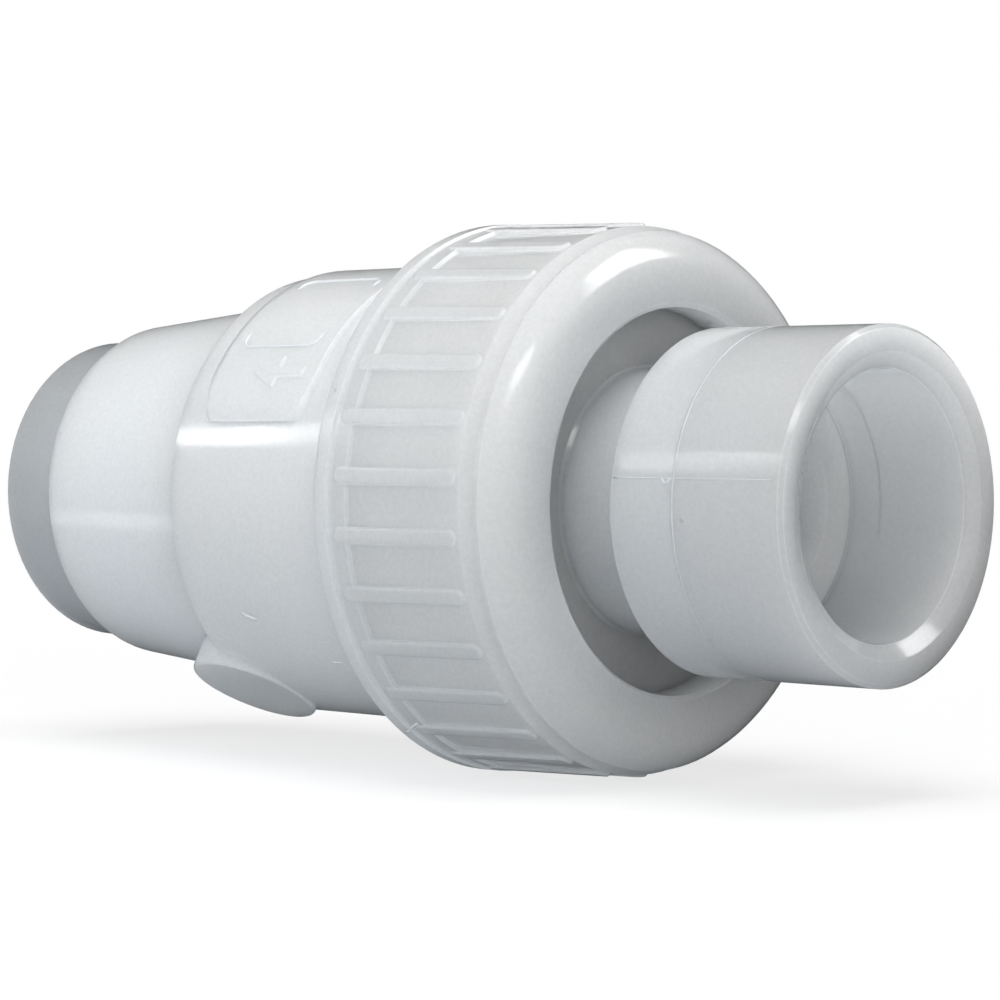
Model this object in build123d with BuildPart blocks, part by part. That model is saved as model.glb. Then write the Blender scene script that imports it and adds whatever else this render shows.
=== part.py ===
from build123d import *
import math
import os

# Single-union ball check valve for 32 mm fusion-welded plastic pipe.
# Frame: +X along the flow axis from the outlet socket to the union end, +Z up,
# origin at the centre of the outlet socket's mouth. Millimetres.

# ---- driving dimensions ----
TOTAL_LENGTH = 135.0
PIPE_SOCKET_RADIUS = 15.8
PIPE_SOCKET_DEPTH = 17.5
OUTLET_CHAMFER = 0.4
INLET_CHAMFER = 1.8
INLET_CHAMFER_DEPTH = 1.2
SOCKET_OUTER_RADIUS = 20.8
BORE_RADIUS = 13.0
EDGE_ROUND = 0.5

# body shell
STUB_LENGTH = 11.6
TAPER_RADIUS_OUTLET = 23.0
TAPER_RADIUS_SHOULDER = 25.8
SHOULDER_X = 43.4
BARREL_RADIUS = 28.9
BARREL_END_X = 77.0
BODY_FACE_X = 93.7

# union thread (right-hand, trapezoidal)
THREAD_PITCH = 4.0
THREAD_CORE_RADIUS = 27.0
THREAD_CREST_RADIUS = 29.0
THREAD_ROOT_WIDTH = 2.6
THREAD_CREST_WIDTH = 1.0
THREAD_RELIEF = 1.5
THREAD_START_X = 81.0
THREAD_END_X = 92.2
THREAD_SIDE_GAP = 0.3
THREAD_TIP_GAP = 0.4
THREAD_OVERLAP = 0.3

# ball chamber
BALL_RADIUS = 17.0
BALL_SEATED_X = 74.9
BALL_TRAVEL = 12.0
BALL_GAP = 0.35
CHAMBER_RADIUS = 22.6
CHAMBER_START_X = 43.0
THROAT_X = 30.0
GUIDE_COUNT = 4
GUIDE_WIDTH = 3.6
GUIDE_RADIUS = BALL_RADIUS + BALL_GAP
GUIDE_ROOT = 1.0
GUIDE_END_X = 83.0
GUIDE_LEAD = 3.0
GUIDE_LEAD_RISE = 1.5
STOP_RADIUS = 9.0
STOP_START_X = 34.0
STOP_TOE_X = 32.0
STOP_TOE_ROOT = 0.6

# seat bush in the mouth of the body
CARRIER_START_X = 84.0
MOUTH_RADIUS = 23.6
CARRIER_RADIUS = 23.5
SEAT_DEPTH = 3.5
SEAT_OUTER_RADIUS = 18.5
SEAT_LIP = 0.5
SEAT_BORE_RADIUS = BORE_RADIUS + 0.4
SEAT_BEVEL = 0.3
O_RING_SECTION = 1.2
O_RING_GROOVE_GAP = 0.3
CARRIER_O_RING_X = 88.6
FACE_O_RING_RADIUS = 17.5
FACE_O_RING_STAND = 0.1

# end connector
CONNECTOR_BORE_RADIUS = 11.0
COLLAR_FACE_X = 94.1
COLLAR_LENGTH = 4.6
COLLAR_RADIUS = 26.5
NECK_RADIUS = 16.0
NECK_FLARE = 1.0
NECK_FLARE_LENGTH = 1.5
CONNECTOR_BARREL_X = 110.0

# union nut
NUT_START_X = 75.4
NUT_WEB_X = 99.0
NUT_END_X = 104.1
NUT_HOLE_RADIUS = 23.4
NUT_BORE_RADIUS = 29.5
NUT_RADIUS_BACK = 34.4
NUT_RADIUS_FRONT = 33.7
NUT_RING_RADIUS = 32.7
NUT_RING_X = 100.9
NUT_RING_WIDTH = 0.8
NUT_RING_RISE = 0.2
NUT_RIM_END_X = 77.8
NUT_RIM_BEVEL = 0.2
NUT_BAND_DROP = 0.35
NUT_BAND_END_X = 98.5
NUT_POCKET_DROP = 0.8
DOME_LIP = 2.0
DOME_MID_RADIUS = 30.65
DOME_MID_X = 103.2
RIB_COUNT = 30
RIB_WIDTH = 2.0
RIB_ROUND = 0.3
RIB_START_X = 78.8
RIB_END_X = 98.0
RIB_CROWN_END_X = 99.0
RIB_ROOT_RADIUS = 31.7
RIB_PHASE = 4.5
POCKET_START_X = 80.7
POCKET_STEP = 0.3

# boss, label panel and flow arrow on the body
BOSS_RADIUS = 8.5
BOSS_X = 43.0
BOSS_ANGLE = 62.5
BOSS_ROOT = 24.1
BOSS_REACH = 29.1
PANEL_RISE = 0.7
PANEL_START_X = 48.0
PANEL_END_X = 66.6
PANEL_ANGLE_LOW = 18.0
PANEL_CORNER = 3.0
ARROW_LENGTH = 9.0
ARROW_HEAD = 4.5
ARROW_SHAFT = 1.4
ARROW_X = 60.0
ARROW_ANGLE = 31.0
ARROW_RISE = 0.35

os.makedirs("parts", exist_ok=True)


def save(builder, name):
    """Label a finished piece and write it as one STEP file."""
    builder.part.label = name
    export_step(builder.part, f"parts/{name}.step")
    print(f"{name}: {builder.part.volume:.0f} mm3, {len(builder.part.solids())} solid")


def radial_plane(x, angle, reach=0.0):
    """Plane facing outwards at an angle above the -Y side, its local X along the axis."""
    rad = math.radians(angle)
    outward = Vector(0, -math.cos(rad), math.sin(rad))
    return Plane(origin=Vector(x, 0, 0) + outward * reach, x_dir=(1, 0, 0), z_dir=outward)


def thread_plane(helix):
    """Plane across a thread at the start of its helix, local X outwards."""
    start = helix @ 0
    outward = Vector(0, start.Y, start.Z)
    return Plane(origin=start, x_dir=outward, z_dir=helix % 0)


def thread_span_helix(radius):
    """Right-handed helix of the union thread at a given radius."""
    return Helix(
        pitch=THREAD_PITCH,
        height=THREAD_END_X - THREAD_START_X,
        radius=radius,
        center=(THREAD_START_X, 0, 0),
        direction=(1, 0, 0),
    )


# ---- body: external thread ----
thread_height = THREAD_CREST_RADIUS - THREAD_CORE_RADIUS
flank_slope = (THREAD_ROOT_WIDTH - THREAD_CREST_WIDTH) / thread_height

with BuildPart() as body_thread:
    with BuildLine() as body_helix:
        outer_helix = thread_span_helix(THREAD_CORE_RADIUS)
    with BuildSketch(thread_plane(outer_helix)):
        root_width = THREAD_ROOT_WIDTH + flank_slope * THREAD_OVERLAP
        with BuildLine():
            Polyline(
                (-THREAD_OVERLAP, -root_width / 2),
                (thread_height, -THREAD_CREST_WIDTH / 2),
                (thread_height, THREAD_CREST_WIDTH / 2),
                (-THREAD_OVERLAP, root_width / 2),
                close=True,
            )
        make_face()
    sweep(path=body_helix.line, is_frenet=True)

# ---- body: raised label panel, wrapped over the top of the barrel ----
panel_radius = BARREL_RADIUS + PANEL_RISE
panel_angle = math.radians(PANEL_ANGLE_LOW)

with BuildPart() as panel:
    with BuildSketch(Plane.YZ.offset(PANEL_START_X)):
        Circle(panel_radius)
        Circle(BARREL_RADIUS - PANEL_RISE, mode=Mode.SUBTRACT)
    extrude(amount=PANEL_END_X - PANEL_START_X)
    panel_width = 2 * panel_radius * math.cos(panel_angle)
    with BuildSketch(Plane.XY.offset(panel_radius * math.sin(panel_angle))):
        with Locations(((PANEL_START_X + PANEL_END_X) / 2, 0)):
            RectangleRounded(PANEL_END_X - PANEL_START_X, panel_width, PANEL_CORNER)
    extrude(amount=BARREL_RADIUS, mode=Mode.INTERSECT)

# ---- body: flow arrow, pointing to the outlet ----
with BuildPart() as arrow:
    with BuildSketch(radial_plane(ARROW_X, ARROW_ANGLE, BARREL_RADIUS - PANEL_RISE)):
        with BuildLine():
            Polyline(
                (-ARROW_LENGTH / 2, 0),
                (-ARROW_LENGTH / 2 + ARROW_HEAD, ARROW_HEAD / 2),
                (-ARROW_LENGTH / 2 + ARROW_HEAD, ARROW_SHAFT / 2),
                (ARROW_LENGTH / 2, ARROW_SHAFT / 2),
                (ARROW_LENGTH / 2, -ARROW_SHAFT / 2),
                (-ARROW_LENGTH / 2 + ARROW_HEAD, -ARROW_SHAFT / 2),
                (-ARROW_LENGTH / 2 + ARROW_HEAD, -ARROW_HEAD / 2),
                close=True,
            )
        make_face()
    extrude(amount=3 * PANEL_RISE)
    with BuildSketch(Plane.YZ.offset(PANEL_START_X)):
        Circle(panel_radius + ARROW_RISE)
    extrude(amount=PANEL_END_X - PANEL_START_X, mode=Mode.INTERSECT)

# ---- body: drain boss under the shoulder ----
with BuildPart() as boss:
    with BuildSketch(radial_plane(BOSS_X, -BOSS_ANGLE, BOSS_ROOT)):
        Circle(BOSS_RADIUS)
    extrude(amount=BOSS_REACH - BOSS_ROOT)
    boss_rim = boss.edges().filter_by(GeomType.CIRCLE).sort_by_distance((0, 0, 0))[-1]
    fillet(boss_rim, radius=EDGE_ROUND)

# ---- body ----
with BuildPart() as valve_body:
    with BuildSketch(Plane.XZ):
        with BuildLine():
            Polyline(
                (0, PIPE_SOCKET_RADIUS + OUTLET_CHAMFER),
                (0, SOCKET_OUTER_RADIUS - EDGE_ROUND),
                (EDGE_ROUND, SOCKET_OUTER_RADIUS),
                (STUB_LENGTH, SOCKET_OUTER_RADIUS),
                (STUB_LENGTH, TAPER_RADIUS_OUTLET - EDGE_ROUND),
                (STUB_LENGTH + EDGE_ROUND, TAPER_RADIUS_OUTLET),
                (SHOULDER_X, TAPER_RADIUS_SHOULDER),
                (SHOULDER_X, BARREL_RADIUS - EDGE_ROUND),
                (SHOULDER_X + EDGE_ROUND, BARREL_RADIUS),
                (BARREL_END_X, BARREL_RADIUS),
                (BARREL_END_X + THREAD_RELIEF, THREAD_CORE_RADIUS),
                (BODY_FACE_X - EDGE_ROUND, THREAD_CORE_RADIUS),
                (BODY_FACE_X, THREAD_CORE_RADIUS - EDGE_ROUND),
                (BODY_FACE_X, MOUTH_RADIUS + EDGE_ROUND),
                (BODY_FACE_X - EDGE_ROUND, MOUTH_RADIUS),
                (CARRIER_START_X, MOUTH_RADIUS),
                (CARRIER_START_X, CHAMBER_RADIUS),
                (CHAMBER_START_X, CHAMBER_RADIUS),
                (THROAT_X, BORE_RADIUS),
                (PIPE_SOCKET_DEPTH, BORE_RADIUS),
                (PIPE_SOCKET_DEPTH, PIPE_SOCKET_RADIUS),
                (OUTLET_CHAMFER, PIPE_SOCKET_RADIUS),
                close=True,
            )
        make_face()
    revolve(axis=Axis.X)
    add(boss.part)
    add(panel.part)
    add(arrow.part)
    add(body_thread.part)

# ---- body: guide ribs that steer the ball, stepped inwards as stops ----
# the stop noses are hollowed to the sphere of the open ball
ball_open_x = BALL_SEATED_X - BALL_TRAVEL
nose_angle = 90 - math.degrees(math.asin(STOP_RADIUS / GUIDE_RADIUS))

with BuildPart() as guide:
    with BuildSketch(Plane.XZ):
        with BuildLine():
            nose = CenterArc((ball_open_x, 0), GUIDE_RADIUS, start_angle=90, arc_size=nose_angle)
            Polyline(
                nose @ 1,
                (STOP_START_X, STOP_RADIUS),
                (STOP_TOE_X, BORE_RADIUS + STOP_TOE_ROOT),
                (CHAMBER_START_X, CHAMBER_RADIUS + GUIDE_ROOT),
                (GUIDE_END_X, CHAMBER_RADIUS + GUIDE_ROOT),
                (GUIDE_END_X, GUIDE_RADIUS + GUIDE_LEAD_RISE),
                (GUIDE_END_X - GUIDE_LEAD, GUIDE_RADIUS),
                nose @ 0,
            )
        make_face()
    extrude(amount=GUIDE_WIDTH / 2, both=True)

with BuildPart() as body_with_guides:
    add(valve_body.part)
    for number in range(GUIDE_COUNT):
        add(guide.part.rotate(Axis.X, 45 + number * 360 / GUIDE_COUNT))

# ---- closure ball ----
with BuildPart() as ball:
    with Locations((BALL_SEATED_X, 0, 0)):
        Sphere(BALL_RADIUS)

# ---- seat ring: elastomer ring with a conical lip for the ball ----
seat_end_x = CARRIER_START_X + SEAT_DEPTH
seat_face_x = CARRIER_START_X - SEAT_LIP
contact_radius = math.sqrt(GUIDE_RADIUS ** 2 - (seat_face_x - BALL_SEATED_X) ** 2)
seat_lip_x = BALL_SEATED_X + math.sqrt(GUIDE_RADIUS ** 2 - SEAT_BORE_RADIUS ** 2)

with BuildPart() as seat_ring:
    with BuildSketch(Plane.XZ):
        with BuildLine():
            Polyline(
                (seat_face_x, contact_radius + SEAT_BEVEL),
                (seat_lip_x + SEAT_BEVEL, SEAT_BORE_RADIUS),
                (seat_end_x, SEAT_BORE_RADIUS),
                (seat_end_x, SEAT_OUTER_RADIUS),
                (CARRIER_START_X, SEAT_OUTER_RADIUS),
                (seat_face_x, SEAT_OUTER_RADIUS - EDGE_ROUND),
                close=True,
            )
        make_face()
    revolve(axis=Axis.X)

# ---- seat carrier: bush with grooves for the seat ring and two O-rings ----
groove_half_width = O_RING_SECTION + O_RING_GROOVE_GAP
carrier_groove_floor = CARRIER_RADIUS - 2 * O_RING_SECTION
face_groove_floor_x = BODY_FACE_X + FACE_O_RING_STAND - 2 * O_RING_SECTION

with BuildPart() as seat_carrier:
    with BuildSketch(Plane.XZ):
        with BuildLine():
            Polyline(
                (CARRIER_START_X, SEAT_OUTER_RADIUS),
                (CARRIER_START_X, CARRIER_RADIUS - EDGE_ROUND),
                (CARRIER_START_X + EDGE_ROUND, CARRIER_RADIUS),
                (CARRIER_O_RING_X - groove_half_width, CARRIER_RADIUS),
                (CARRIER_O_RING_X - groove_half_width, carrier_groove_floor),
                (CARRIER_O_RING_X + groove_half_width, carrier_groove_floor),
                (CARRIER_O_RING_X + groove_half_width, CARRIER_RADIUS),
                (BODY_FACE_X, CARRIER_RADIUS),
                (BODY_FACE_X, FACE_O_RING_RADIUS + groove_half_width),
                (face_groove_floor_x, FACE_O_RING_RADIUS + groove_half_width),
                (face_groove_floor_x, FACE_O_RING_RADIUS - groove_half_width),
                (BODY_FACE_X, FACE_O_RING_RADIUS - groove_half_width),
                (BODY_FACE_X, BORE_RADIUS),
                (seat_end_x, BORE_RADIUS),
                (seat_end_x, SEAT_OUTER_RADIUS),
                close=True,
            )
        make_face()
    revolve(axis=Axis.X)


def o_ring(x, radius):
    """O-ring coaxial with the valve."""
    with BuildPart() as ring:
        with BuildSketch(Plane.XZ):
            with Locations((x, radius)):
                Circle(O_RING_SECTION)
        revolve(axis=Axis.X)
    return ring


carrier_o_ring = o_ring(CARRIER_O_RING_X, carrier_groove_floor + O_RING_SECTION)
face_o_ring = o_ring(face_groove_floor_x + O_RING_SECTION, FACE_O_RING_RADIUS)

# ---- end connector: socket barrel, undercut neck and collar ----
socket_floor_x = TOTAL_LENGTH - PIPE_SOCKET_DEPTH
collar_back_x = COLLAR_FACE_X + COLLAR_LENGTH

with BuildPart() as end_connector:
    with BuildSketch(Plane.XZ):
        with BuildLine():
            Polyline(
                (COLLAR_FACE_X, CONNECTOR_BORE_RADIUS),
                (COLLAR_FACE_X, COLLAR_RADIUS - EDGE_ROUND),
                (COLLAR_FACE_X + EDGE_ROUND, COLLAR_RADIUS),
                (collar_back_x - EDGE_ROUND, COLLAR_RADIUS),
                (collar_back_x, COLLAR_RADIUS - EDGE_ROUND),
                (collar_back_x, NECK_RADIUS + EDGE_ROUND),
                (collar_back_x + EDGE_ROUND, NECK_RADIUS),
                (CONNECTOR_BARREL_X - NECK_FLARE_LENGTH, NECK_RADIUS),
                (CONNECTOR_BARREL_X, NECK_RADIUS + NECK_FLARE),
                (CONNECTOR_BARREL_X, SOCKET_OUTER_RADIUS - EDGE_ROUND),
                (CONNECTOR_BARREL_X + EDGE_ROUND, SOCKET_OUTER_RADIUS),
                (TOTAL_LENGTH - EDGE_ROUND, SOCKET_OUTER_RADIUS),
                (TOTAL_LENGTH, SOCKET_OUTER_RADIUS - EDGE_ROUND),
                (TOTAL_LENGTH, PIPE_SOCKET_RADIUS + INLET_CHAMFER),
                (TOTAL_LENGTH - INLET_CHAMFER_DEPTH, PIPE_SOCKET_RADIUS),
                (socket_floor_x, PIPE_SOCKET_RADIUS),
                (socket_floor_x, CONNECTOR_BORE_RADIUS),
                close=True,
            )
        make_face()
    revolve(axis=Axis.X)

# ---- union nut: one rib, with rounded ends and a crown that follows the nut ----
rib_length = RIB_END_X - RIB_START_X
with BuildPart() as rib:
    with BuildSketch(radial_plane((RIB_START_X + RIB_END_X) / 2, RIB_PHASE, RIB_ROOT_RADIUS)):
        SlotOverall(rib_length, RIB_WIDTH)
    extrude(amount=2 * (NUT_RADIUS_BACK - RIB_ROOT_RADIUS))
    with BuildSketch(Plane.XZ):
        with BuildLine():
            Polyline(
                (NUT_START_X, 0),
                (NUT_START_X, NUT_RADIUS_BACK),
                (RIB_CROWN_END_X, NUT_RADIUS_FRONT),
                (RIB_CROWN_END_X, 0),
                close=True,
            )
        make_face()
    revolve(axis=Axis.X, mode=Mode.INTERSECT)
    crown = rib.faces().filter_by(GeomType.CONE).sort_by(SortBy.AREA)[-1]
    fillet(crown.edges(), radius=RIB_ROUND)

# ---- union nut: internal thread ----
nut_thread_tip = THREAD_CORE_RADIUS + THREAD_TIP_GAP
nut_thread_height = NUT_BORE_RADIUS - nut_thread_tip


def nut_thread_width(radius):
    """Axial width of the nut's ridge between two turns of the body's ridge."""
    body_width = THREAD_ROOT_WIDTH - flank_slope * (radius - THREAD_CORE_RADIUS)
    return THREAD_PITCH - body_width - 2 * THREAD_SIDE_GAP


with BuildPart() as nut_thread:
    with BuildLine() as inner_helix:
        nut_helix = thread_span_helix(nut_thread_tip)
    with BuildSketch(thread_plane(nut_helix)):
        tip_width = nut_thread_width(nut_thread_tip)
        base_width = nut_thread_width(NUT_BORE_RADIUS + THREAD_OVERLAP)
        with BuildLine():
            Polyline(
                (0, -tip_width / 2),
                (nut_thread_height + THREAD_OVERLAP, -base_width / 2),
                (nut_thread_height + THREAD_OVERLAP, base_width / 2),
                (0, tip_width / 2),
                close=True,
            )
        make_face()
    sweep(path=inner_helix.line, is_frenet=True)

# ---- union nut ----
with BuildPart() as union_nut:
    with BuildSketch(Plane.XZ):
        with BuildLine():
            Polyline(
                (NUT_RING_X, NUT_RING_RADIUS),
                (NUT_RING_X - NUT_RING_WIDTH, NUT_RING_RADIUS - NUT_RING_RISE),
                (NUT_BAND_END_X, NUT_RADIUS_FRONT - NUT_BAND_DROP),
                (POCKET_START_X + POCKET_STEP, NUT_RADIUS_BACK - NUT_POCKET_DROP),
                (POCKET_START_X, NUT_RADIUS_BACK - NUT_BAND_DROP),
                (NUT_RIM_END_X + NUT_RIM_BEVEL, NUT_RADIUS_BACK - NUT_BAND_DROP),
                (NUT_RIM_END_X, NUT_RADIUS_BACK),
                (NUT_START_X + EDGE_ROUND, NUT_RADIUS_BACK),
                (NUT_START_X, NUT_RADIUS_BACK - EDGE_ROUND),
                (NUT_START_X, NUT_BORE_RADIUS + EDGE_ROUND),
                (NUT_START_X + EDGE_ROUND, NUT_BORE_RADIUS),
                (NUT_WEB_X, NUT_BORE_RADIUS),
                (NUT_WEB_X, NUT_HOLE_RADIUS),
                (NUT_END_X - EDGE_ROUND, NUT_HOLE_RADIUS),
                (NUT_END_X, NUT_HOLE_RADIUS + EDGE_ROUND),
                (NUT_END_X, NUT_HOLE_RADIUS + DOME_LIP),
            )
            Spline(
                (NUT_END_X, NUT_HOLE_RADIUS + DOME_LIP),
                (DOME_MID_X, DOME_MID_RADIUS),
                (NUT_RING_X, NUT_RING_RADIUS),
                tangents=((0, 1), (-2, 1)),
            )
        make_face()
    revolve(axis=Axis.X)
    rib_step = 360 / RIB_COUNT
    for number in range(RIB_COUNT):
        add(rib.part.rotate(Axis.X, number * rib_step))
    add(nut_thread.part.moved(Location((THREAD_PITCH / 2, 0, 0))))

save(body_with_guides, "valve_body")
save(ball, "ball")
save(seat_ring, "seat_ring")
save(seat_carrier, "seat_carrier")
save(carrier_o_ring, "carrier_o_ring")
save(face_o_ring, "face_o_ring")
save(end_connector, "end_connector")
save(union_nut, "union_nut")
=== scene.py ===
import math

import bmesh
import bpy
from mathutils import Matrix, Vector


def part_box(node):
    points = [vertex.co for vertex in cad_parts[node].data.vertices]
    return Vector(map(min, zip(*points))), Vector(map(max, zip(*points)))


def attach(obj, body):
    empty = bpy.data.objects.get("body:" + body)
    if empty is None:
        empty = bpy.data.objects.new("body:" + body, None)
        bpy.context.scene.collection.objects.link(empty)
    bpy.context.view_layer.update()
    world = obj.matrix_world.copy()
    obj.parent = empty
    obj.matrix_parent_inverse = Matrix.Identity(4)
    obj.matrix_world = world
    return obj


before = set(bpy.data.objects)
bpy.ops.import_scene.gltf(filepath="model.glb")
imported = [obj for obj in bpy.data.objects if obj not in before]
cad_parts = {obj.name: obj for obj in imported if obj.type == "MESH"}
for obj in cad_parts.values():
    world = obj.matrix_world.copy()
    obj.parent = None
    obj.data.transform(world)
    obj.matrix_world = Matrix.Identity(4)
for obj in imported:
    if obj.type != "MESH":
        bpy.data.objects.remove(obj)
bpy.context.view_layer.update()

# Ball check valve in natural, milky fusion plastic. Metres, flow axis along X.
MM = 0.001

# ---- where things are, from the frame ----
body_low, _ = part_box("valve_body")
nut_low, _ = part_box("union_nut")
end_low, end_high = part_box("end_connector")
length = end_high.x - body_low.x

# ---- camera, as the product was photographed ----
CAMERA_AZIMUTH = math.radians(42.93)
CAMERA_ELEVATION = math.radians(0.69)
CAMERA_ROLL = math.radians(-0.75)
CAMERA_DISTANCE = 0.3935
CAMERA_AIM = Vector((0.5485 * length, 0, -0.33 * MM))
CAMERA_LENS = 111.6


def direction(azimuth, elevation):
    """Unit vector from the object towards an azimuth and elevation, in radians."""
    flat = math.cos(elevation)
    return Vector((math.sin(azimuth) * flat, -math.cos(azimuth) * flat, math.sin(elevation)))


def make_camera():
    data = bpy.data.cameras.new("camera")
    data.lens = CAMERA_LENS
    data.clip_start = 0.01
    data.clip_end = 50
    camera = bpy.data.objects.new("camera", data)
    bpy.context.scene.collection.objects.link(camera)
    back = direction(CAMERA_AZIMUTH, CAMERA_ELEVATION)
    turn = (-back).to_track_quat("-Z", "Y").to_matrix().to_4x4()
    roll = Matrix.Rotation(-CAMERA_ROLL, 4, "Z")
    camera.matrix_world = Matrix.Translation(CAMERA_AIM + back * CAMERA_DISTANCE) @ turn @ roll
    bpy.context.scene.camera = camera


# ---- node helpers ----
def new_material(name):
    material = bpy.data.materials.new(name)
    material.use_nodes = True
    nodes = material.node_tree.nodes
    nodes.clear()
    return material, nodes, material.node_tree.links


def object_coordinates(nodes, links, stretch=(1, 1, 1)):
    """Coordinates that stay with the piece, stretched along its axes."""
    coordinate = nodes.new("ShaderNodeTexCoord")
    mapping = nodes.new("ShaderNodeMapping")
    mapping.inputs["Scale"].default_value = stretch
    links.new(coordinate.outputs["Object"], mapping.inputs["Vector"])
    return mapping.outputs["Vector"]


def noise(nodes, links, vector, scale, detail=2.0, seed=0.0):
    node = nodes.new("ShaderNodeTexNoise")
    node.noise_dimensions = "4D"
    node.inputs["W"].default_value = seed
    node.inputs["Scale"].default_value = scale
    node.inputs["Detail"].default_value = detail
    links.new(vector, node.inputs["Vector"])
    return node.outputs["Fac"]


def remap(nodes, links, value, low, high, to_low, to_high):
    node = nodes.new("ShaderNodeMapRange")
    node.inputs["From Min"].default_value = low
    node.inputs["From Max"].default_value = high
    node.inputs["To Min"].default_value = to_low
    node.inputs["To Max"].default_value = to_high
    links.new(value, node.inputs["Value"])
    return node.outputs["Result"]


def mix_colour(nodes, links, factor, first, second):
    node = nodes.new("ShaderNodeMix")
    node.data_type = "RGBA"
    for socket, colour in ((node.inputs[6], first), (node.inputs[7], second)):
        if isinstance(colour, tuple):
            socket.default_value = (*colour, 1)
        else:
            links.new(colour, socket)
    links.new(factor, node.inputs[0])
    return node.outputs[2]


def multiply(nodes, links, colour, factor):
    """Darken a colour by a grey factor."""
    node = nodes.new("ShaderNodeVectorMath")
    node.operation = "SCALE"
    links.new(colour, node.inputs[0])
    links.new(factor, node.inputs["Scale"])
    return node.outputs["Vector"]


def bump(nodes, links, height, strength, distance, below=None):
    node = nodes.new("ShaderNodeBump")
    node.inputs["Strength"].default_value = strength
    node.inputs["Distance"].default_value = distance
    links.new(height, node.inputs["Height"])
    if below is not None:
        links.new(below, node.inputs["Normal"])
    return node.outputs["Normal"]


# ---- materials ----
PLASTIC = (0.830, 0.864, 0.890)
PLASTIC_IOR = 1.45
SCATTER_DEPTH = 20.0 * MM
SCATTER_CHANNELS = (1.0, 1.02, 1.05)
# tones of the plastic: stretch along the axes, noise scale, detail, seed step, noise range, tone range
EVEN = (1, 1, 1)
ALONG_FLOW = (0.25, 1, 1)
TONE_LAYERS = (
    (EVEN, 22, 2, 0, (0.25, 0.75), (0.96, 1.0)),  # clouds
    (ALONG_FLOW, 190, 3, 5, (0.2, 0.8), (0.975, 1.0)),  # streaks of the melt
    (EVEN, 1900, 2, 9, (0.3, 0.7), (0.93, 1.0)),  # grain
    (EVEN, 800, 0, 3, (0.87, 0.91), (1.0, 0.80)),  # rare darker motes
)
# painted shade darkens inside corners, and a painted highlight lightens edges, standing in for light
# coming through them
PAINTED_CREVICE_SHADE_REACH = 1.2 * MM
PAINTED_CREVICE_SHADE_OPEN = (0.45, 0.95)
PAINTED_CREVICE_SHADE_TONE = 0.86
EDGE_RADIUS = 0.25 * MM
# painted highlight: edges are mixed toward this lighter tone
PAINTED_EDGE_GLOW_BEND = (0.86, 0.99)
PAINTED_EDGE_GLOW_SHARE = 0.75
PAINTED_EDGE_GLOW_TONE = (0.945, 0.965, 0.985)
# polish and relief of the surface
ROUGHNESS = (0.10, 0.18)
SINK_HEIGHT = 0.10 * MM
GRAIN_HEIGHT = 0.01 * MM
BLOOM_HEIGHT = 0.02 * MM
RUBBER = (0.018, 0.018, 0.020)
RUBBER_BLOOM = (0.045, 0.045, 0.048)
RUBBER_ROUGHNESS = (0.42, 0.62)


def along_axis(nodes, links, place, start, end):
    """0 before start and 1 after end, along the flow axis."""
    parts = nodes.new("ShaderNodeSeparateXYZ")
    links.new(place, parts.inputs[0])
    return remap(nodes, links, parts.outputs["X"], start, end, 0, 1)


def off_axis(nodes, links, place, start, end):
    """0 nearer the flow axis than start and 1 farther than end."""
    flat = nodes.new("ShaderNodeVectorMath")
    flat.operation = "MULTIPLY"
    flat.inputs[1].default_value = (0, 1, 1)
    links.new(place, flat.inputs[0])
    distance = nodes.new("ShaderNodeVectorMath")
    distance.operation = "LENGTH"
    links.new(flat.outputs["Vector"], distance.inputs[0])
    return remap(nodes, links, distance.outputs["Value"], start, end, 0, 1)


def scaled(colour, factor):
    return tuple(channel * factor for channel in colour)


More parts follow.
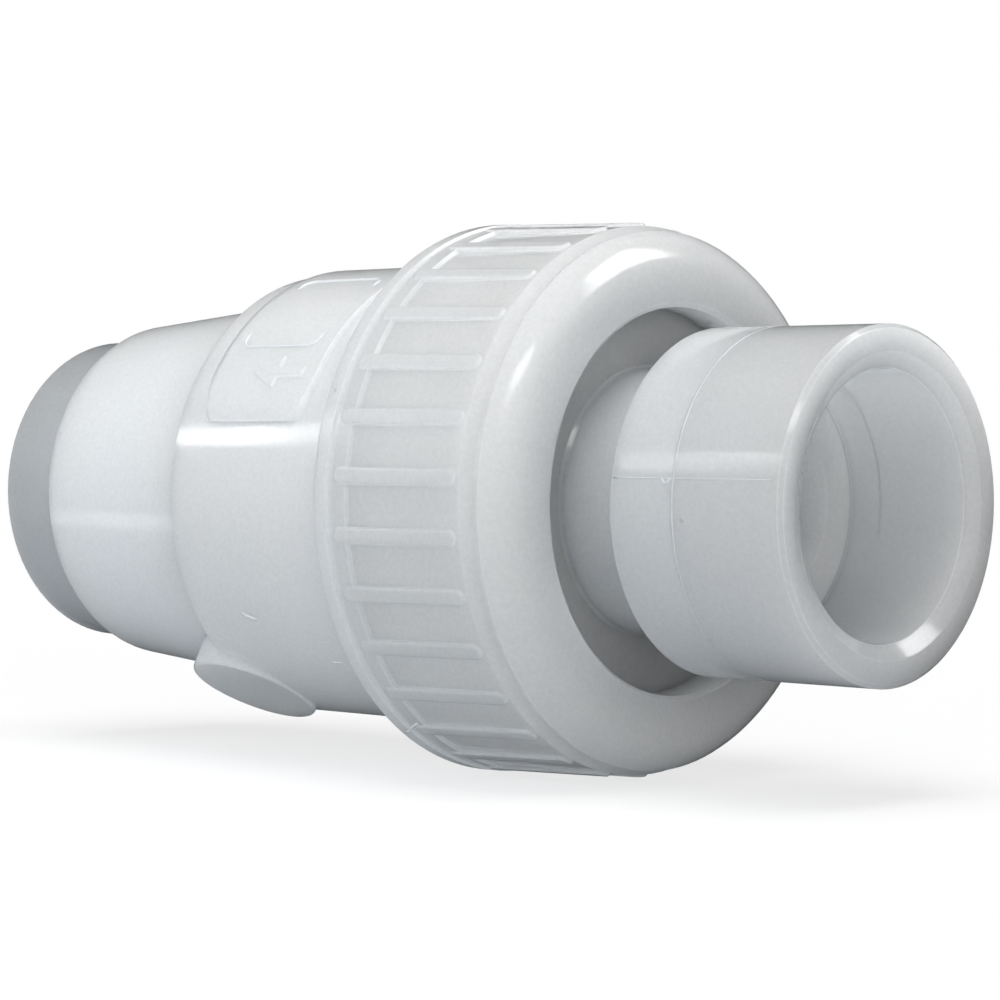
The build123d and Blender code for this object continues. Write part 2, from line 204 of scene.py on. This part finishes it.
def natural_plastic(name, seed, tone=None, base=PLASTIC, depth=SCATTER_DEPTH):
    """Unpigmented moulded plastic: light goes some millimetres in and comes out soft.

    tone gives the colour at each place: greyer where the wall is thin, with painted light and painted
    shade in some places. Edges also get a painted highlight, and inside corners painted shade.
    """
    material, nodes, links = new_material(name)
    place = object_coordinates(nodes, links)
    colour = base
    if tone is not None:
        colour = tone(nodes, links, place)
    edge = nodes.new("ShaderNodeBevel")
    edge.samples = 6
    edge.inputs["Radius"].default_value = EDGE_RADIUS
    # painted highlight: where the rounded normal bends away from the flat one, the colour is mixed toward
    # a lighter tone
    plain = nodes.new("ShaderNodeNewGeometry")
    bend = nodes.new("ShaderNodeVectorMath")
    bend.operation = "DOT_PRODUCT"
    links.new(edge.outputs["Normal"], bend.inputs[0])
    links.new(plain.outputs["Normal"], bend.inputs[1])
    painted_edge_glow = remap(nodes, links, bend.outputs["Value"], *PAINTED_EDGE_GLOW_BEND, PAINTED_EDGE_GLOW_SHARE, 0)
    colour = mix_colour(nodes, links, painted_edge_glow, colour, PAINTED_EDGE_GLOW_TONE)
    for stretch, scale, detail, step, noise_range, tone_range in TONE_LAYERS:
        layer = noise(nodes, links, object_coordinates(nodes, links, stretch), scale, detail, seed + step)
        colour = multiply(nodes, links, colour, remap(nodes, links, layer, *noise_range, *tone_range))
    # painted shade: the colour is darkened where ambient occlusion finds inside corners
    corner_occlusion = nodes.new("ShaderNodeAmbientOcclusion")
    corner_occlusion.samples = 6
    corner_occlusion.only_local = True
    corner_occlusion.inputs["Distance"].default_value = PAINTED_CREVICE_SHADE_REACH
    shade = remap(nodes, links, corner_occlusion.outputs["AO"], *PAINTED_CREVICE_SHADE_OPEN, PAINTED_CREVICE_SHADE_TONE, 1.0)
    colour = multiply(nodes, links, colour, shade)

    haze = noise(nodes, links, place, 90, 5, seed + 7)
    polish = remap(nodes, links, haze, 0.3, 0.7, *ROUGHNESS)
    sinks = noise(nodes, links, place, 60, 1, seed + 11)
    sink = bump(nodes, links, sinks, 0.30, SINK_HEIGHT, edge.outputs["Normal"])
    grains = noise(nodes, links, place, 1500, 2, seed + 13)
    grain = bump(nodes, links, grains, 0.2, GRAIN_HEIGHT, sink)

    shader = nodes.new("ShaderNodeBsdfPrincipled")
    if depth:
        shader.subsurface_method = "RANDOM_WALK"
        shader.inputs["Subsurface Weight"].default_value = 1.0
        shader.inputs["Subsurface Radius"].default_value = SCATTER_CHANNELS
        shader.inputs["Subsurface Scale"].default_value = depth
    shader.inputs["IOR"].default_value = PLASTIC_IOR
    links.new(colour, shader.inputs["Base Color"])
    links.new(polish, shader.inputs["Roughness"])
    links.new(grain, shader.inputs["Normal"])
    output = nodes.new("ShaderNodeOutputMaterial")
    links.new(shader.outputs["BSDF"], output.inputs["Surface"])
    return material


def seal_rubber(name, seed):
    """Black elastomer with a matt moulded skin and a little bloom."""
    material, nodes, links = new_material(name)
    place = object_coordinates(nodes, links)
    bloom = remap(nodes, links, noise(nodes, links, place, 120, 4, seed), 0.45, 0.75, 0, 1)
    colour = mix_colour(nodes, links, bloom, RUBBER, RUBBER_BLOOM)
    shader = nodes.new("ShaderNodeBsdfPrincipled")
    links.new(colour, shader.inputs["Base Color"])
    links.new(remap(nodes, links, bloom, 0, 1, *RUBBER_ROUGHNESS), shader.inputs["Roughness"])
    grains = noise(nodes, links, place, 1500, 3, seed + 5)
    links.new(bump(nodes, links, grains, 0.3, BLOOM_HEIGHT), shader.inputs["Normal"])
    output = nodes.new("ShaderNodeOutputMaterial")
    links.new(shader.outputs["BSDF"], output.inputs["Surface"])
    return material


def finish_node(name, material):
    """Give a CAD node its finished material."""
    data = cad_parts[name].data
    data.materials.clear()
    data.materials.append(material)


# ---- moulding marks, laid on the CAD surfaces ----
def on_surface(node, x, angle):
    """Point and outward direction on a CAD node at x, at an angle in degrees above the -Y side."""
    turn = math.radians(angle)
    outward = Vector((0, -math.cos(turn), math.sin(turn)))
    start = Vector((x, 0, 0)) + outward * length
    hit, place, _normal, _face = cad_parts[node].ray_cast(start, -outward)
    if not hit:
        raise ValueError(f"nothing of {node} at x {x:.4f}, angle {angle}")
    return place, outward


# cross-section of a ridge: across in widths, up in heights
RIDGE_PROFILE = (
    (-0.5, -0.6), (-0.42, 0.35), (-0.2, 0.86), (0.0, 1.0), (0.2, 0.86), (0.42, 0.35), (0.5, -0.6),
)
RIDGE_END_SWELL = 0.3
RIDGE_SWELL_STEP = 0.35


def ridge(name, node, body, path, width, height, material, closed=False):
    """Low rounded ridge of plastic along a path of (x, angle) places on a CAD node."""
    points = [on_surface(node, x, angle) for x, angle in path]
    count = len(points)
    work = bmesh.new()
    rows = []
    for number, (place, outward) in enumerate(points):
        if closed:
            before, after = points[number - 1][0], points[(number + 1) % count][0]
            swell = 1.0
        else:
            before, after = points[max(number - 1, 0)][0], points[min(number + 1, count - 1)][0]
            swell = min(1.0, RIDGE_END_SWELL + RIDGE_SWELL_STEP * min(number, count - 1 - number))
        side = outward.cross((after - before).normalized())
        rows.append([
            work.verts.new(place + side * (across * width) + outward * (rise * height * swell))
            for across, rise in RIDGE_PROFILE
        ])
    pairs = list(zip(rows, rows[1:] + rows[:1])) if closed else list(zip(rows, rows[1:]))
    size = len(RIDGE_PROFILE)
    for first, second in pairs:
        for corner in range(size):
            after = (corner + 1) % size
            work.faces.new((first[corner], first[after], second[after], second[corner]))
    if not closed:
        work.faces.new(rows[0])
        work.faces.new(rows[-1])
    bmesh.ops.recalc_face_normals(work, faces=work.faces)
    mesh = bpy.data.meshes.new(name)
    work.to_mesh(mesh)
    work.free()
    for face in mesh.polygons:
        face.use_smooth = True
    mesh.materials.append(material)
    piece = bpy.data.objects.new(name, mesh)
    bpy.context.scene.collection.objects.link(piece)
    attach(piece, body)
    return piece


def ring_path(x, count=144):
    return [(x, number * 360 / count) for number in range(count)]


def line_path(start, end, angle, count):
    return [(start + (end - start) * number / (count - 1), angle) for number in range(count)]


CORNER_STEPS = 6


def frame_path(low_x, high_x, low_angle, high_angle, corner_x, corner_angle):
    """Rounded rectangle wrapped on the surface, as one closed path."""
    path = []
    corners = (
        (high_x, high_angle, 0),
        (low_x, high_angle, 90),
        (low_x, low_angle, 180),
        (high_x, low_angle, 270),
    )
    for corner_at_x, corner_at_angle, start in corners:
        inward_x = -corner_x if corner_at_x == high_x else corner_x
        inward_angle = -corner_angle if corner_at_angle == high_angle else corner_angle
        for step in range(CORNER_STEPS + 1):
            turn = math.radians(start + step * 90 / CORNER_STEPS)
            path.append((corner_at_x + inward_x + corner_x * math.cos(turn),
                         corner_at_angle + inward_angle + corner_angle * math.sin(turn)))
    return path


# ---- stage ----
FLOOR_RADIUS = 3.0
FLOOR_DROP = 0.1 * MM
FLOOR_FADE = (0.06, 0.30)
FLOOR_LEAST_WHITE = 0.72
FLOOR_TINT = (0.92, 0.92, 0.93, 1)
PURE_WHITE = (1, 1, 1, 1)


def make_floor():
    """Pale round floor that fades to white away from the object."""
    mesh = bpy.data.meshes.new("floor")
    work = bmesh.new()
    bmesh.ops.create_circle(work, cap_ends=True, radius=FLOOR_RADIUS, segments=96)
    work.to_mesh(mesh)
    work.free()
    floor = bpy.data.objects.new("floor", mesh)
    bpy.context.scene.collection.objects.link(floor)
    floor.location = (length / 2, 0, nut_low.z - FLOOR_DROP)
    floor.visible_shadow = False
    floor.visible_diffuse = False
    floor.visible_glossy = False

    material, nodes, links = new_material("floor_white")
    coordinate = nodes.new("ShaderNodeTexCoord")
    distance = nodes.new("ShaderNodeVectorMath")
    distance.operation = "LENGTH"
    links.new(coordinate.outputs["Object"], distance.inputs[0])
    fade = remap(nodes, links, distance.outputs["Value"], *FLOOR_FADE, FLOOR_LEAST_WHITE, 1)
    matt = nodes.new("ShaderNodeBsdfDiffuse")
    matt.inputs["Color"].default_value = FLOOR_TINT
    white = nodes.new("ShaderNodeEmission")
    white.inputs["Color"].default_value = PURE_WHITE
    mix = nodes.new("ShaderNodeMixShader")
    links.new(fade, mix.inputs["Fac"])
    links.new(matt.outputs["BSDF"], mix.inputs[1])
    links.new(white.outputs["Emission"], mix.inputs[2])
    output = nodes.new("ShaderNodeOutputMaterial")
    links.new(mix.outputs["Shader"], output.inputs["Surface"])
    mesh.materials.append(material)


ROOM_BELOW = (0.020, 0.021, 0.022)
ROOM_ABOVE = (0.026, 0.0265, 0.027)


def make_world():
    """White backdrop to the eye, and a soft room that is brighter above for the light."""
    world = bpy.data.worlds.new("studio")
    bpy.context.scene.world = world
    world.use_nodes = True
    nodes, links = world.node_tree.nodes, world.node_tree.links
    nodes.clear()
    coordinate = nodes.new("ShaderNodeTexCoord")
    parts = nodes.new("ShaderNodeSeparateXYZ")
    links.new(coordinate.outputs["Generated"], parts.inputs[0])
    height = remap(nodes, links, parts.outputs["Z"], -0.6, 0.8, 0, 1)
    room = mix_colour(nodes, links, height, ROOM_BELOW, ROOM_ABOVE)
    soft = nodes.new("ShaderNodeBackground")
    links.new(room, soft.inputs["Color"])
    soft.inputs["Strength"].default_value = 1.0
    white = nodes.new("ShaderNodeBackground")
    white.inputs["Color"].default_value = PURE_WHITE
    ray = nodes.new("ShaderNodeLightPath")
    mix = nodes.new("ShaderNodeMixShader")
    links.new(ray.outputs["Is Camera Ray"], mix.inputs["Fac"])
    links.new(soft.outputs["Background"], mix.inputs[1])
    links.new(white.outputs["Background"], mix.inputs[2])
    output = nodes.new("ShaderNodeOutputWorld")
    links.new(mix.outputs["Shader"], output.inputs["Surface"])


def make_light(name, azimuth, elevation, distance, width, height, power, tint):
    """Softbox that faces the middle of the object."""
    data = bpy.data.lights.new(name, "AREA")
    data.shape = "RECTANGLE"
    data.size = width
    data.size_y = height
    data.energy = power
    data.color = tint
    light = bpy.data.objects.new(name, data)
    bpy.context.scene.collection.objects.link(light)
    away = direction(math.radians(azimuth), math.radians(elevation))
    light.location = CAMERA_AIM + away * distance
    light.rotation_mode = "QUATERNION"
    light.rotation_quaternion = away.to_track_quat("Z", "Y")
    return light


# large soft lights give the tone: name, azimuth and elevation in degrees, power, tint
WHITE = (1, 1, 1)
COOL = (0.93, 0.99, 1.05)
FILL_DISTANCE = 1.2
FILL_SIZE = 0.9
FILLS = (
    ("front", 43, 5, 6.3, WHITE),
    ("front_high", 25, 45, 3.6, WHITE),
    ("left", -15, 5, 1.8, WHITE),
    ("right", 95, 8, 2.7, WHITE),
    ("top", 25, 78, 13.0, WHITE),
    ("low_left", -50, -30, 5.6, COOL),
    ("low_front", 15, -35, 3.1, COOL),
    ("back", 205, 20, 6.0, WHITE),
)
# small windows give the highlights: name, azimuth and elevation in degrees, width, height, power
WINDOW_DISTANCE = 1.0
WINDOWS = (
    ("window_left", -51.4, 19.5, 0.035, 0.12, 0.30),
    ("window_middle", -39.8, 21, 0.055, 0.17, 0.18),
    ("window_low", -61.5, -11, 0.12, 0.09, 0.06),
    ("window_right", 62, 38, 0.42, 0.20, 1.9),
    ("window_back", 132, 42, 0.40, 0.55, 6.0),
)

make_camera()
make_world()
make_floor()
for name, azimuth, elevation, power, tint in FILLS:
    fill = make_light(name, azimuth, elevation, FILL_DISTANCE, FILL_SIZE, FILL_SIZE, power, tint)
    fill.visible_glossy = False
for name, azimuth, elevation, width, height, power in WINDOWS:
    window = make_light(name, azimuth, elevation, WINDOW_DISTANCE, width, height, power, WHITE)
    window.visible_diffuse = False
bpy.context.scene.view_settings.view_transform = "Standard"

# tones of the walls, and where they change; some of them are painted light and painted shade
STUB_START = body_low.x + 1.0 * MM
STUB_END = body_low.x + 11.6 * MM
STUB_MOUTH = scaled(PLASTIC, 0.46)
STUB_ROOT = scaled(PLASTIC, 0.56)
BORE_RADIUS = 15.8 * MM
COLLAR_END = end_low.x + 4.7 * MM
NECK_END = end_low.x + 15.4 * MM
# painted light on the socket floor, the collar and the neck; painted shade on the bore wall
PAINTED_LIGHT_FLOOR_AND_COLLAR_TONE = scaled(PLASTIC, 1.08)
PAINTED_SHADE_BORE_TONE = scaled(PLASTIC, 0.71)
PAINTED_LIGHT_NECK_TONE = scaled(PLASTIC, 0.96)
OUTER_TONE = scaled(PLASTIC, 0.76)
CONNECTOR_DEPTH = 35.0 * MM
HOLE_RADIUS = 23.4 * MM
RIBS_START = nut_low.x + 3.0 * MM
RIB_FOOT_RADIUS = 33.5 * MM
# painted light on the lip of the nut's hole
PAINTED_LIGHT_HOLE_TONE = scaled(PLASTIC, 1.10)
NUT_TONE = scaled(PLASTIC, 0.955)
# painted shade on the crowns of the nut's ribs
PAINTED_SHADE_RIB_TONE = scaled(PLASTIC, 0.87)


def body_tone(nodes, links, place):
    """The outlet stub is thin and greyer, most of all at its mouth; the shell beyond it is thick."""
    stub = mix_colour(nodes, links,
                      along_axis(nodes, links, place, STUB_START, STUB_END - 2.0 * MM),
                      STUB_MOUTH, STUB_ROOT)
    return mix_colour(nodes, links,
                      along_axis(nodes, links, place, STUB_END - 1.0 * MM, STUB_END + 0.8 * MM),
                      stub, PLASTIC)


def connector_tone(nodes, links, place):
    """The outside of the socket is greyer than the body plastic; the bore wall is darkened with painted
    shade, and the socket floor, the collar and the neck are lightened with painted light.
    """
    # painted light on the socket floor, painted shade on the bore wall
    inside = mix_colour(nodes, links,
                        off_axis(nodes, links, place, BORE_RADIUS - 0.5 * MM, BORE_RADIUS - 0.1 * MM),
                        PAINTED_LIGHT_FLOOR_AND_COLLAR_TONE, PAINTED_SHADE_BORE_TONE)
    # painted light on the collar and the neck
    collar = mix_colour(nodes, links,
                        along_axis(nodes, links, place, COLLAR_END, COLLAR_END + 0.4 * MM),
                        PAINTED_LIGHT_FLOOR_AND_COLLAR_TONE, PAINTED_LIGHT_NECK_TONE)
    outside = mix_colour(nodes, links,
                         along_axis(nodes, links, place, NECK_END - 0.4 * MM, NECK_END),
                         collar, OUTER_TONE)
    return mix_colour(nodes, links,
                      off_axis(nodes, links, place, BORE_RADIUS + 0.02 * MM, BORE_RADIUS + 0.5 * MM),
                      inside, outside)


def nut_tone(nodes, links, place):
    """The rib crowns are darkened with painted shade to be as grey as the pockets between them, and the
    lip of the hole is lightened with painted light, standing in for light coming through it.
    """
    # painted shade: the rib crowns are darker
    crown = mix_colour(nodes, links,
                       along_axis(nodes, links, place, RIBS_START, RIBS_START + 0.3 * MM),
                       NUT_TONE, PAINTED_SHADE_RIB_TONE)
    outside = mix_colour(nodes, links,
                         off_axis(nodes, links, place, RIB_FOOT_RADIUS, RIB_FOOT_RADIUS + 0.2 * MM),
                         NUT_TONE, crown)
    # painted light: the lip of the hole is lighter
    return mix_colour(nodes, links,
                      off_axis(nodes, links, place, HOLE_RADIUS + 0.2 * MM, HOLE_RADIUS + 0.8 * MM),
                      PAINTED_LIGHT_HOLE_TONE, outside)


body_plastic = natural_plastic("body_plastic", 1.0, body_tone)
nut_plastic = natural_plastic("nut_plastic", 20.0, nut_tone)
connector_plastic = natural_plastic("connector_plastic", 40.0, connector_tone, depth=CONNECTOR_DEPTH)
inner_plastic = natural_plastic("inner_plastic", 60.0)
mark_plastic = natural_plastic("mark_plastic", 80.0, depth=None)
connector_mark = natural_plastic("connector_mark", 85.0, base=scaled(OUTER_TONE, 1.08), depth=None)
rubber = seal_rubber("seal_rubber", 5.0)

finish_node("valve_body", body_plastic)
finish_node("union_nut", nut_plastic)
finish_node("end_connector", connector_plastic)
finish_node("seat_carrier", inner_plastic)
finish_node("ball", inner_plastic)
for seal in ("seat_ring", "carrier_o_ring", "face_o_ring"):
    finish_node(seal, rubber)

# marks of the mould on the body and the nut: a plain label frame, two flash scars and a gate scar
SCAR_STEPS = range(8)
frame_places = frame_path(body_low.x + 50.5 * MM, body_low.x + 64.0 * MM, 39, 68, 1.5 * MM, 3.0)
upper_scar = [(body_low.x + (52.9 + 0.35 * step) * MM, -31.2 - 0.25 * step) for step in SCAR_STEPS]
lower_scar = [(body_low.x + (64.6 + 0.3 * step) * MM, -45.6) for step in SCAR_STEPS]
nut_scar = [(nut_low.x + (1.1 + 0.5 * step) * MM, -56.6 + 0.5 * step) for step in SCAR_STEPS]
ridge("label_frame", "valve_body", "body", frame_places, 0.45 * MM, 0.22 * MM, mark_plastic, closed=True)
ridge("flash_scar_upper", "valve_body", "body", upper_scar, 0.55 * MM, 0.20 * MM, mark_plastic)
ridge("flash_scar_lower", "valve_body", "body", lower_scar, 0.35 * MM, 0.15 * MM, mark_plastic)
ridge("nut_gate_scar", "union_nut", "nut", nut_scar, 0.45 * MM, 0.16 * MM, mark_plastic)

# marks on the connector: the witness ring of the tool split, its parting lines and a gate scar
SEAM_WIDTH = 0.20 * MM
SEAM_HEIGHT = 0.03 * MM
SEAM_ANGLE = 8.0
witness_x = end_high.x - 15.4 * MM
ridge("connector_witness_ring", "end_connector", "connector", ring_path(witness_x),
      0.35 * MM, SEAM_HEIGHT, connector_mark, closed=True)
for side, angle in (("front", SEAM_ANGLE), ("back", SEAM_ANGLE + 180)):
    seam = line_path(end_high.x - 24.2 * MM, end_high.x - 1.2 * MM, angle, 40)
    ridge(f"connector_seam_{side}", "end_connector", "connector", seam,
          SEAM_WIDTH, SEAM_HEIGHT, connector_mark)
gate_scar = [(witness_x - back * MM, angle)
             for back, angle in ((1.9, 8.4), (1.5, 7.4), (1.1, 6.4), (0.7, 6.9), (0.3, 8.2))]
ridge("connector_gate_scar", "end_connector", "connector", gate_scar,
      0.30 * MM, 0.16 * MM, connector_mark)
